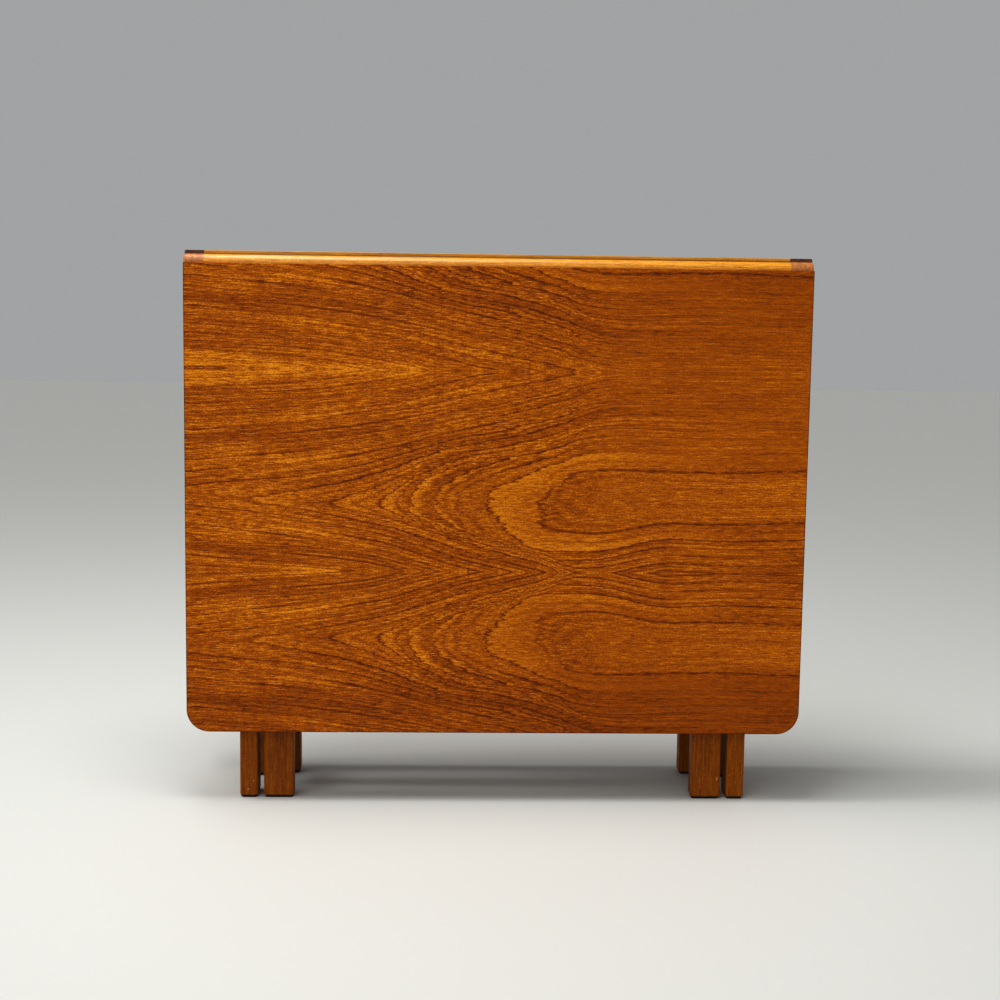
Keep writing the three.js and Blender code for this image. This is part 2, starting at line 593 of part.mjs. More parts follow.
// A butt hinge's plate in the gap beside the gate. The fixed plate carries the pin.
function buttPlate(z, mine) {
  const wall = mine ? -GATE_LEG_OUTER - GLUE_LINE : -LEG_INNER_FACE + GLUE_LINE;
  const face = wall + (mine ? -BUTT_PLATE_THICKNESS : BUTT_PLATE_THICKNESS);
  const xs = [Math.min(wall, face), Math.max(wall, face)];
  const root = GATE_AXIS_Y + BUTT_KNUCKLE_RADIUS + KNUCKLE_GAP;
  const zs = [z - BUTT_LENGTH / 2, z + BUTT_LENGTH / 2];
  const plate = box(xs, [root, root + BUTT_PLATE_WIDTH], zs);
  const knuckles = knuckleRanges(z, BUTT_LENGTH, BUTT_KNUCKLES, mine).flatMap((range) => [
    rodAlongZ(BUTT_KNUCKLE_RADIUS, GATE_AXIS_X, GATE_AXIS_Y, range),
    box(xs, [GATE_AXIS_Y, root + PAST], range),
  ]);
  const bore = BUTT_PIN_RADIUS + PIN_CLEARANCE;
  const past = [zs[0] - PAST, zs[1] + PAST];
  if (mine) {
    return carve([plate, ...knuckles], [rodAlongZ(bore, GATE_AXIS_X, GATE_AXIS_Y, past)]);
  }
  return carve([plate, ...knuckles, rodAlongZ(BUTT_PIN_RADIUS, GATE_AXIS_X, GATE_AXIS_Y, zs)]);
}

// ---- Black pads under the legs ----
function glide(xs, ys) {
  const inset = (pair) => [pair[0] + GLIDE_INSET, pair[1] - GLIDE_INSET];
  const zs = [0, GLIDE_THICKNESS - GLUE_LINE];
  return post(inset(xs), inset(ys), zs, GLIDE_CORNER_RADIUS);
}

function glides(side) {
  const group = new THREE.Group();
  const fixedY = [LEG_FACE_Y, LEG_BACK_Y];
  const gateY = [LEG_FACE_Y, GATE_BACK_Y];
  const fixedX = [LEG_INNER_FACE, LEG_OUTER_FACE];
  const gateX = [GATE_LEG_INNER, GATE_LEG_OUTER];
  const mirrored = (pair) => [-pair[1], -pair[0]];
  group.add(node(side + "_left_leg_glide", glide(mirrored(fixedX), fixedY), blackPlastic));
  group.add(node(side + "_right_leg_glide", glide(fixedX, fixedY), blackPlastic));
  group.add(node(side + "_gate_stile_glide", glide(mirrored(gateX), gateY), blackPlastic));
  group.add(node(side + "_gate_leg_glide", glide(gateX, gateY), blackPlastic));
  return group;
}

// ---- The table ----
function tableSide(side, turn) {
  const group = new THREE.Group();
  group.rotation.z = turn;
  group.add(topSide(side), gate(side), glides(side));
  return group;
}

const table = new THREE.Group();
table.add(centreBoard(), longMembers());
table.add(endFrame("left", -1), endFrame("right", 1));
table.add(tableSide("front", 0), tableSide("rear", Math.PI));

export default table;
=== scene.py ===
# A gateleg drop leaf table, folded: a narrow centre board on two end frames, with a long leaf
# hanging at the front and the rear, and a folded gate behind each leaf.
from math import asin, cos, pi, radians, sin

import bmesh
import bpy
from mathutils import Euler, Matrix, Vector


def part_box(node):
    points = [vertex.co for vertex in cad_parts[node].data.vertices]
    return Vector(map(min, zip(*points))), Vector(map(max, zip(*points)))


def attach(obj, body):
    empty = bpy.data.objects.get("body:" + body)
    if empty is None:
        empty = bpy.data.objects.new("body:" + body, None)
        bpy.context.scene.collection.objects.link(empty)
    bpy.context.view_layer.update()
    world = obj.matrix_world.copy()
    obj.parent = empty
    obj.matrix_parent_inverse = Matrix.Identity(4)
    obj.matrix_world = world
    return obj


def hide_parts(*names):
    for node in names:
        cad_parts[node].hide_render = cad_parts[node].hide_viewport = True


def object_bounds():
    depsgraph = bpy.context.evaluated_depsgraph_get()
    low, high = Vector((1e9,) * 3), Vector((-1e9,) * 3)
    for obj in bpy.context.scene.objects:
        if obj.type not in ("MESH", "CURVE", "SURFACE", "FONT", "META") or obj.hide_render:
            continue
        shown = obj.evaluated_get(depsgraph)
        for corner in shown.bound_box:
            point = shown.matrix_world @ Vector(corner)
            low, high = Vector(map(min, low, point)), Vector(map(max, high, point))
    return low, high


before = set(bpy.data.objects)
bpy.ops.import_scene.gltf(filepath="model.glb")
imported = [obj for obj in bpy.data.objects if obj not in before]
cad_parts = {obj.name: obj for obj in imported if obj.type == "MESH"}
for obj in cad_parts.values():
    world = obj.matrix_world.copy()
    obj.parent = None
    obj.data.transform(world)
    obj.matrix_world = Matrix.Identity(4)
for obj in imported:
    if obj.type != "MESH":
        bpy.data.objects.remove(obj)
solid_low, solid_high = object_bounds()
scene = bpy.context.scene
scene.view_settings.view_transform = "Standard"
scene.view_settings.gamma = 0.8

# ---- The camera ----
# It stands a little left of the middle, level with the leaves' upper edges, and looks slightly
# down and to the right.
CAMERA_PLACE = Vector((-0.0803, -2.370, 0.700))
CAMERA_DOWN = radians(7.25)
CAMERA_RIGHT = radians(2.10)
CAMERA_ROLL = radians(0.815)
CAMERA_LENS = 62.9

camera = bpy.data.objects.new("camera", bpy.data.cameras.new("camera"))
camera.data.sensor_width = 36
camera.data.lens = CAMERA_LENS
looking = Euler((pi / 2 - CAMERA_DOWN, 0, -CAMERA_RIGHT)).to_matrix()
turned = looking @ Matrix.Rotation(CAMERA_ROLL, 3, "Z")
camera.matrix_world = Matrix.Translation(CAMERA_PLACE) @ turned.to_4x4()
scene.collection.objects.link(camera)
scene.camera = camera


# ---- The end frames ----
# Each has two rectangular teak legs, joined by a top rail and a bottom rail with tenons. The wood
# is planed and oiled, and its arrises are rounded over.
LEG_FOOT_ROUNDING = 0.0016
RAIL_ROUNDING = 0.0016
LONG_ARRIS = 0.08  # a rail's arrises are longer than this, and its tenons' are shorter
SMOOTH_UNDER = radians(34)
HAIR = 1e-5  # how near to a face a point has to be to count as on it
GRAIN_DEPTH = 0.00010
GRAIN_RELIEF = 0.4


def put(socket, value):
    """Links an output to this input, or sets the input to a plain value."""
    if isinstance(value, bpy.types.NodeSocket):
        socket.id_data.links.new(value, socket)
    else:
        socket.default_value = value


def maths(tree, operation, *values, clamp=False):
    node = tree.nodes.new("ShaderNodeMath")
    node.operation = operation
    node.use_clamp = clamp
    for socket, value in zip(node.inputs, values):
        put(socket, value)
    return node.outputs[0]


def spread(tree, value, low, high, to_low=0.0, to_high=1.0, smooth=True):
    """Carries the stretch from low to high over to another one, and holds it beyond its ends."""
    node = tree.nodes.new("ShaderNodeMapRange")
    node.interpolation_type = "SMOOTHSTEP" if smooth else "LINEAR"
    named = (("From Min", low), ("From Max", high), ("To Min", to_low), ("To Max", to_high))
    for name, part in named:
        put(node.inputs[name], part)
    put(node.inputs["Value"], value)
    return node.outputs["Result"]


def combined(tree, x, y, z):
    node = tree.nodes.new("ShaderNodeCombineXYZ")
    for socket, value in zip(node.inputs, (x, y, z)):
        put(socket, value)
    return node.outputs[0]


def separated(tree, vector):
    node = tree.nodes.new("ShaderNodeSeparateXYZ")
    put(node.inputs[0], vector)
    return node.outputs


def streaks(tree, place, stretch, detail=1.0, offset=0.0):
    """Noise with so many streaks in a metre along each axis."""
    mapping = tree.nodes.new("ShaderNodeMapping")
    mapping.inputs["Scale"].default_value = stretch
    mapping.inputs["Location"].default_value = (offset, offset, offset)
    put(mapping.inputs["Vector"], place)
    noise = tree.nodes.new("ShaderNodeTexNoise")
    noise.inputs["Scale"].default_value = 1.0
    noise.inputs["Detail"].default_value = detail
    put(noise.inputs["Vector"], mapping.outputs[0])
    return noise.outputs[0]


def tinted(tree, factor, stops):
    """A colour for each place on a scale from 0 to 1."""
    node = tree.nodes.new("ShaderNodeValToRGB")
    elements = node.color_ramp.elements
    while len(elements) < len(stops):
        elements.new(1.0)
    for element, (place, colour) in zip(elements, stops):
        element.position = place
        element.color = (*colour, 1.0)
    put(node.inputs[0], factor)
    return node.outputs[0]


def mixed(tree, factor, first, second):
    node = tree.nodes.new("ShaderNodeMix")
    node.data_type = "RGBA"
    for index, value in ((0, factor), (6, first), (7, second)):
        put(node.inputs[index], value)
    return node.outputs[2]


def new_group(name, inputs, outputs):
    """An empty shader group, with its sockets' names and kinds."""
    group = bpy.data.node_groups.new(name, "ShaderNodeTree")
    for label, kind in inputs:
        group.interface.new_socket(label, in_out="INPUT", socket_type="NodeSocket" + kind)
    for label, kind in outputs:
        group.interface.new_socket(label, in_out="OUTPUT", socket_type="NodeSocket" + kind)
    source = group.nodes.new("NodeGroupInput").outputs
    return group, source, group.nodes.new("NodeGroupOutput").inputs


def placed(tree, group, **values):
    """A group put in a material or in another group, with its own values."""
    node = tree.nodes.new("ShaderNodeGroup")
    node.node_tree = group
    for label, value in values.items():
        put(node.inputs[label.replace("_", " ")], value)
    return node.outputs


def make_grain():
    """Wood seen along its fibres: growth rings, long streaks, and the short dark pores of teak.
    Place has the fibres along X, Across follows the figure, and Rings counts growth rings."""
    labels = ("Across", "Rings", "Ring Strength", "Ring Width", "Pore Strength")
    inputs = [("Place", "Vector")] + [(label, "Float") for label in labels]
    outputs = [("Tone", "Float"), ("Pores", "Float"), ("Relief", "Float")]
    tree, source, result = new_group("teak_grain", inputs, outputs)
    place = source["Place"]
    parts = separated(tree, place)
    flow = combined(tree, parts[0], source["Across"], parts[2])
    shift = spread(tree, streaks(tree, place, (60, 420, 420), 1.0, 3.1), 0.3, 0.7, -0.05, 0.05, False)
    rings = maths(tree, "ADD", source["Rings"], shift)
    share = maths(tree, "FRACT", rings)
    fading_edge = spread(tree, share, 0.03, source["Ring Width"], 1, 0)
    edge = maths(tree, "MULTIPLY", fading_edge, spread(tree, share, 0, 0.03))
    number = maths(tree, "MULTIPLY", maths(tree, "FLOOR", rings), 3.7)
    history = combined(tree, maths(tree, "MULTIPLY", parts[0], 6.0), number, 0.0)
    strength = spread(tree, streaks(tree, history, (1, 1, 1), 1.0, 0.0), 0.30, 0.60, 0.2, 1.0)
    strength = maths(tree, "MULTIPLY", strength, source["Ring Strength"])
    line = maths(tree, "MULTIPLY", edge, strength)
    belt = maths(tree, "MULTIPLY", spread(tree, share, 0.0, 0.8, 1, 0), strength)
    third = maths(tree, "FRACT", maths(tree, "MULTIPLY_ADD", rings, 2.0, 0.06))
    fading = spread(tree, streaks(tree, flow, (7, 90, 90), 1.0, 8.2), 0.40, 0.58)
    fine = maths(tree, "MULTIPLY", spread(tree, third, 0.0, 0.45, 1, 0), fading)
    fine = maths(tree, "MULTIPLY", fine, source["Ring Strength"])
    bands = spread(tree, streaks(tree, flow, (1.6, 30, 30), 1.0, 1.3), 0.25, 0.75, -1, 1, False)
    fibres = spread(tree, streaks(tree, flow, (11, 220, 220), 1.0, 4.4), 0.25, 0.75, -1, 1, False)
    threads = spread(tree, streaks(tree, flow, (9, 480, 480), 1.5, 7.7), 0.30, 0.70, -1, 1, False)
    hairs = spread(tree, streaks(tree, place, (60, 600, 600), 2.0, 6.1), 0.32, 0.68, -1, 1, False)
    grit = spread(tree, streaks(tree, place, (520, 1100, 1100), 1.0, 9.4), 0.30, 0.70, -1, 1, False)
    crowd = maths(tree, "MULTIPLY_ADD", belt, 0.08, streaks(tree, place, (70, 640, 640), 1.0, 5.9))
    crowd = maths(tree, "MULTIPLY_ADD", streaks(tree, flow, (12, 70, 70), 1.0, 2.7), 0.35, crowd)
    pores = maths(tree, "MULTIPLY", spread(tree, crowd, 0.73, 0.83), source["Pore Strength"])
    tone = maths(tree, "MULTIPLY_ADD", bands, 0.11, 0.59)
    steady = spread(tree, source["Ring Width"], 0.09, 0.20, 0.4, 1.0)
    flowing = maths(tree, "MULTIPLY", maths(tree, "MULTIPLY_ADD", fibres, 0.5, threads), steady)
    amounts = (flowing, 0.15), (hairs, 0.16), (grit, 0.20), (line, -0.44), (belt, -0.05)
    for part, amount in (*amounts, (fine, -0.22), (pores, -0.22)):
        tone = maths(tree, "MULTIPLY_ADD", part, amount, tone)
    put(result["Tone"], tone)
    put(result["Pores"], pores)
    put(result["Relief"], maths(tree, "MULTIPLY_ADD", pores, -1.2, hairs))
    return tree


grain = make_grain()


def new_material(name, roughness, metallic=0.0, specular=0.5):
    """A material with its shader, and the place on the piece in metres."""
    material = bpy.data.materials.new(name)
    material.use_nodes = True
    tree = material.node_tree
    shader = tree.nodes["Principled BSDF"]
    shader.inputs["Roughness"].default_value = roughness
    shader.inputs["Metallic"].default_value = metallic
    shader.inputs["Specular IOR Level"].default_value = specular
    place = tree.nodes.new("ShaderNodeTexCoord").outputs["Object"]
    return material, tree, shader, place


def raised(tree, shader, height):
    """The grain's relief on the surface."""
    bump = tree.nodes.new("ShaderNodeBump")
    bump.inputs["Distance"].default_value = GRAIN_DEPTH
    bump.inputs["Strength"].default_value = GRAIN_RELIEF
    put(bump.inputs["Height"], height)
    put(shader.inputs["Normal"], bump.outputs[0])


LEG_TEAK = [
    (0.0, (0.095, 0.021, 0.0006)), (0.35, (0.165, 0.041, 0.0007)),
    (0.6, (0.215, 0.057, 0.0008)), (1.0, (0.310, 0.098, 0.003)),
]


def solid_wood(name, along, stops, ring_width=0.006, ring_strength=0.3, roughness=0.45,
               heart=(0.02, 0.35), pore_strength=0.4, specular=0.1):
    """Solid wood whose fibres run along one axis, cut from a log whose heart is off to one side."""
    material, tree, shader, place = new_material(name, roughness, specular=specular)
    parts = separated(tree, place)
    across, depth = [axis for axis in range(3) if axis != along]
    first = maths(tree, "SUBTRACT", parts[across], heart[0])
    second = maths(tree, "SUBTRACT", parts[depth], heart[1])
    squares = [maths(tree, "MULTIPLY", part, part) for part in (first, second)]
    radius = maths(tree, "SQRT", maths(tree, "ADD", *squares))
    wander = streaks(tree, place, (3, 3, 3), 1.0)
    rings = maths(tree, "MULTIPLY_ADD", wander, 2.0, maths(tree, "DIVIDE", radius, ring_width))
    turned_place = combined(tree, parts[along], parts[across], parts[depth])
    wood = placed(tree, grain, Place=turned_place, Across=parts[across], Rings=rings,
                  Ring_Strength=ring_strength, Ring_Width=0.24, Pore_Strength=pore_strength)
    put(shader.inputs["Base Color"], tinted(tree, wood["Tone"], stops))
    put(shader.inputs["Roughness"], spread(tree, wood["Pores"], 0, 1, roughness, roughness + 0.2))
    raised(tree, shader, wood["Relief"])
    return material


upright_teak = solid_wood("upright_teak", 2, LEG_TEAK)
lengthways_teak = solid_wood("lengthways_teak", 0, LEG_TEAK)

# Brooms and shoes have left a few pale scuffs near the feet.
SCUFFED = (0.62, 0.34, 0.17, 1)
SCUFFS_TOP = 0.07
SCUFFS_FULL = 0.02
tree = upright_teak.node_tree
shader = tree.nodes["Principled BSDF"]
place = tree.nodes.new("ShaderNodeTexCoord").outputs["Object"]
marks = spread(tree, streaks(tree, place, (230, 230, 170), 1.0, 5.5), 0.70, 0.76)
near_foot = spread(tree, separated(tree, place)[2], SCUFFS_TOP, SCUFFS_FULL, 0.0, 0.5)
marks = maths(tree, "MULTIPLY", marks, near_foot)
surface_colour = shader.inputs["Base Color"].links[0].from_socket
put(shader.inputs["Base Color"], mixed(tree, marks, surface_colour, SCUFFED))
crossways_teak = solid_wood("crossways_teak", 1, LEG_TEAK)


def copied(node):
    """A CAD solid's shape, with its triangles merged into whole flat faces."""
    shape = bmesh.new()
    shape.from_mesh(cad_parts[node].data)
    bmesh.ops.remove_doubles(shape, verts=shape.verts, dist=1e-6)
    bmesh.ops.dissolve_limit(shape, angle_limit=radians(0.5), verts=shape.verts, edges=shape.edges)
    return shape


def eased(shape, rounding, chosen=None, segments=3):
    """Rounds over the arrises, or the chosen ones."""
    arrises = [
        edge for edge in shape.edges
        if abs(edge.calc_face_angle(0)) > SMOOTH_UNDER and (chosen is None or chosen(edge))
    ]
    bmesh.ops.bevel(shape, geom=arrises, offset=rounding, segments=segments, profile=0.5,
                    affect="EDGES", material=-1)


def longer_than(length):
    return lambda edge: edge.calc_length() > length


def finished(shape, name, materials, body, slot, *nodes):
    """Makes the shape an object, smooth where it curves, that rides on a body."""
    mesh = bpy.data.meshes.new(name)
    shape.to_mesh(mesh)
    shape.free()
    for material in materials:
        mesh.materials.append(material)
    mesh.shade_smooth()
    mesh.set_sharp_from_angle(angle=SMOOTH_UNDER)
    piece = bpy.data.objects.new(name, mesh)
    scene.collection.objects.link(piece)
    flats = piece.modifiers.new("flats", "WEIGHTED_NORMAL")
    flats.keep_sharp = True
    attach(piece, body)
    if nodes:
        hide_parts(*nodes)
    return piece


def post(node):
    """A leg: its foot's edge is rounded over."""
    shape = copied(node)
    foot = min(vertex.co.z for vertex in shape.verts)
    eased(shape, LEG_FOOT_ROUNDING, lambda edge: max(v.co.z for v in edge.verts) < foot + HAIR)
    finished(shape, "worked_" + node, [upright_teak], "stand", "leg_teak", node)


def rail(node, material):
    shape = copied(node)
    eased(shape, RAIL_ROUNDING, longer_than(LONG_ARRIS))
    finished(shape, "worked_" + node, [material], "stand", "leg_teak", node)


for hand in ("left", "right"):
    for leg in ("front", "rear"):
        post(f"{hand}_end_{leg}_leg")
    for level in ("top", "bottom"):
        rail(f"{hand}_end_{level}_rail", crossways_teak)

# ---- The long rail and the stretcher ----
# One rail under the middle of the top and one flat stretcher near the floor hold the end frames
# apart. Both are teak, tenoned into the end frames' rails.
rail("long_top_rail", lengthways_teak)
rail("lower_stretcher", lengthways_teak)

# ---- The gates ----
# Each is a flat frame of two uprights and two rails. Its stile is hinged to an end frame's leg,
# and its outer leg stands on the floor and carries the raised leaf.
for side in ("front", "rear"):
    for upright in ("hinge_stile", "outer_leg"):
        post(f"{side}_gate_{upright}")
    for level in ("top", "bottom"):
        rail(f"{side}_gate_{level}_rail", lengthways_teak)

# ---- The glides ----
# A black plastic pad is nailed under each leg, a little smaller than the leg, with its lower
# edge rounded.
GLIDE_ROUNDING = 0.0008
BLACK = [(0.35, (0.004, 0.004, 0.004)), (0.8, (0.010, 0.010, 0.009))]
plastic, tree, shader, place = new_material("black_plastic", 0.45, specular=0.2)
wear = streaks(tree, place, (300, 300, 40), 2.0)
put(shader.inputs["Base Color"], tinted(tree, wear, BLACK))
put(shader.inputs["Roughness"], spread(tree, wear, 0.3, 0.7, 0.35, 0.6))

for side in ("front", "rear"):
    for foot in ("left_leg", "right_leg", "gate_stile", "gate_leg"):
        node = f"{side}_{foot}_glide"
        shape = copied(node)
        eased(shape, GLIDE_ROUNDING, lambda edge: max(v.co.z for v in edge.verts) < HAIR)
        finished(shape, "worked_" + node, [plastic], "stand", "glide", node)

# ---- The centre board ----
# A veneered panel between two moulded teak lippings, with a dark rosewood band across each end.
# The lippings' and bands' edges carry the rule joint's fillet and ovolo.
BOARD_ROUNDING = 0.0004
BAND_ROUNDING = 0.0024
BAND_ROUNDED_ABOVE = 0.7135
FILLET_HEIGHT = 0.0044
FILLET_FOOT = solid_high.z - FILLET_HEIGHT
FILLET_Y = 0.0765
# A lighter colour painted on the bands' ovolo as sheen from the ceiling light.
PAINTED_SHEEN_COLOUR = (0.40, 0.165, 0.050, 1)
# A dark colour painted as shade in the crease at the fillet's foot.
PAINTED_CREASE_SHADE = (0.06, 0.014, 0.001, 1)
LIPPING_TEAK = [
    (0.0, (0.24, 0.078, 0.003)), (0.35, (0.39, 0.152, 0.005)),
    (0.6, (0.49, 0.210, 0.009)), (1.0, (0.66, 0.340, 0.030)),
]
TOP_TEAK = [
    (0.0, (0.14, 0.030, 0.001)), (0.35, (0.26, 0.068, 0.002)),
    (0.6, (0.36, 0.110, 0.004)), (1.0, (0.60, 0.250, 0.015)),
]
ROSEWOOD = [
    (0.0, (0.020, 0.005, 0.002)), (0.35, (0.060, 0.018, 0.007)),
    (0.6, (0.110, 0.038, 0.014)), (1.0, (0.190, 0.075, 0.030)),
]
lipping_teak = solid_wood("lipping_teak", 0, LIPPING_TEAK, roughness=0.32, specular=0.4)
top_veneer = solid_wood("top_veneer", 0, TOP_TEAK, ring_width=0.008, ring_strength=0.6,
                        pore_strength=0.8)
rosewood = solid_wood("rosewood", 1, ROSEWOOD, ring_width=0.003, ring_strength=0.6, roughness=0.3,
                      pore_strength=0.6, specular=0.2)

# Painted sheen: the bands' ovolo gets a lighter, mottled colour where the ceiling light would shine on
# it, and painted shade darkens the teak lipping in the crease along the fillet's foot.
for material, has_painted_sheen, crease_shade in ((rosewood, True, 0.0), (lipping_teak, False, 0.8)):
    tree = material.node_tree
    shader = tree.nodes["Principled BSDF"]
    place = tree.nodes.new("ShaderNodeTexCoord").outputs["Object"]
    x, y, z = separated(tree, place)
    surface_colour = shader.inputs["Base Color"].links[0].from_socket
    # The bands' ovolo is painted lighter and mottled, as sheen from the ceiling light.
    if has_painted_sheen:
        outside = spread(tree, maths(tree, "ABSOLUTE", y), FILLET_Y - 0.0004, FILLET_Y + 0.0004)
        patches = spread(tree, streaks(tree, place, (300, 90, 300), 2.0), 0.3, 0.7, 0.55, 0.95)
        sheen_mask = maths(tree, "MULTIPLY", spread(tree, z, FILLET_FOOT, FILLET_FOOT - 0.0006), outside)
        surface_colour = mixed(tree, maths(tree, "MULTIPLY", sheen_mask, patches), surface_colour, PAINTED_SHEEN_COLOUR)
    # A dark line is painted along the fillet's foot, as shade in the crease.
    if crease_shade:
        off = maths(tree, "ABSOLUTE", maths(tree, "SUBTRACT", z, FILLET_FOOT))
        surface_colour = mixed(tree, spread(tree, off, 0.0013, 0.0003, 0.0, crease_shade), surface_colour, PAINTED_CREASE_SHADE)
    put(shader.inputs["Base Color"], surface_colour)

shape = copied("centre_panel")
eased(shape, BOARD_ROUNDING, lambda edge: min(v.co.z for v in edge.verts) > solid_high.z - HAIR)
finished(shape, "worked_centre_panel", [top_veneer], "stand", "teak_veneer", "centre_panel")
for side in ("front", "rear"):
    shape = copied(f"{side}_rule_lipping")
    eased(shape, BOARD_ROUNDING, longer_than(0.5))
    finished(shape, f"worked_{side}_rule_lipping", [lipping_teak], "stand", "lipping_teak",
             f"{side}_rule_lipping")


def upper_end_arris(edge):
    """An edge round a band's outer end, above its lower lip."""
    at_end = min(abs(vertex.co.x) for vertex in edge.verts) > solid_high.x - HAIR
    return at_end and min(vertex.co.z for vertex in edge.verts) > BAND_ROUNDED_ABOVE


for hand in ("left", "right"):
    shape = copied(f"{hand}_end_band")
    eased(shape, BAND_ROUNDING, upper_end_arris, 4)
    finished(shape, f"worked_{hand}_end_band", [rosewood], "stand", "rosewood", f"{hand}_end_band")

# ---- The leaves ----
# Each leaf is a board between solid lippings, and one sheet of crown-cut veneer covers its whole
# face. The rule lipping's cove closes over the centre board's ovolo.
LEAF_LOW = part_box("front_leaf_edge_lipping")[0].z
LEAF_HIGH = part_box("front_leaf_rule_lipping")[1].z
LEAF_CORNER = 0.030
LEAF_FACE = solid_high.y
END_LIPPING_X = solid_high.x - 0.009
VENEER = 0.0006
VENEER_ROUNDING = 0.0005
STOP_ROUNDING = 0.0008
RIM = (0.05, 0.009, 0.0004, 1)

# The veneer's figure, in metres: the strips' width, and half of how wide the flame of the figure
# is at each station along the leaf.
STRIP_WIDTH = 0.265
REACH = 0.41
WIDEST = 0.15
NOSE = [
    (-0.41, 0.131), (-0.237, 0.118), (-0.149, 0.105), (-0.107, 0.093), (-0.05, 0.076),
    (-0.003, 0.065), (0.055, 0.0485), (0.068, 0.043), (0.088, 0.030), (0.125, 0.014),
    (0.2, 0.002), (0.3, 0.0), (0.41, 0.0),
]


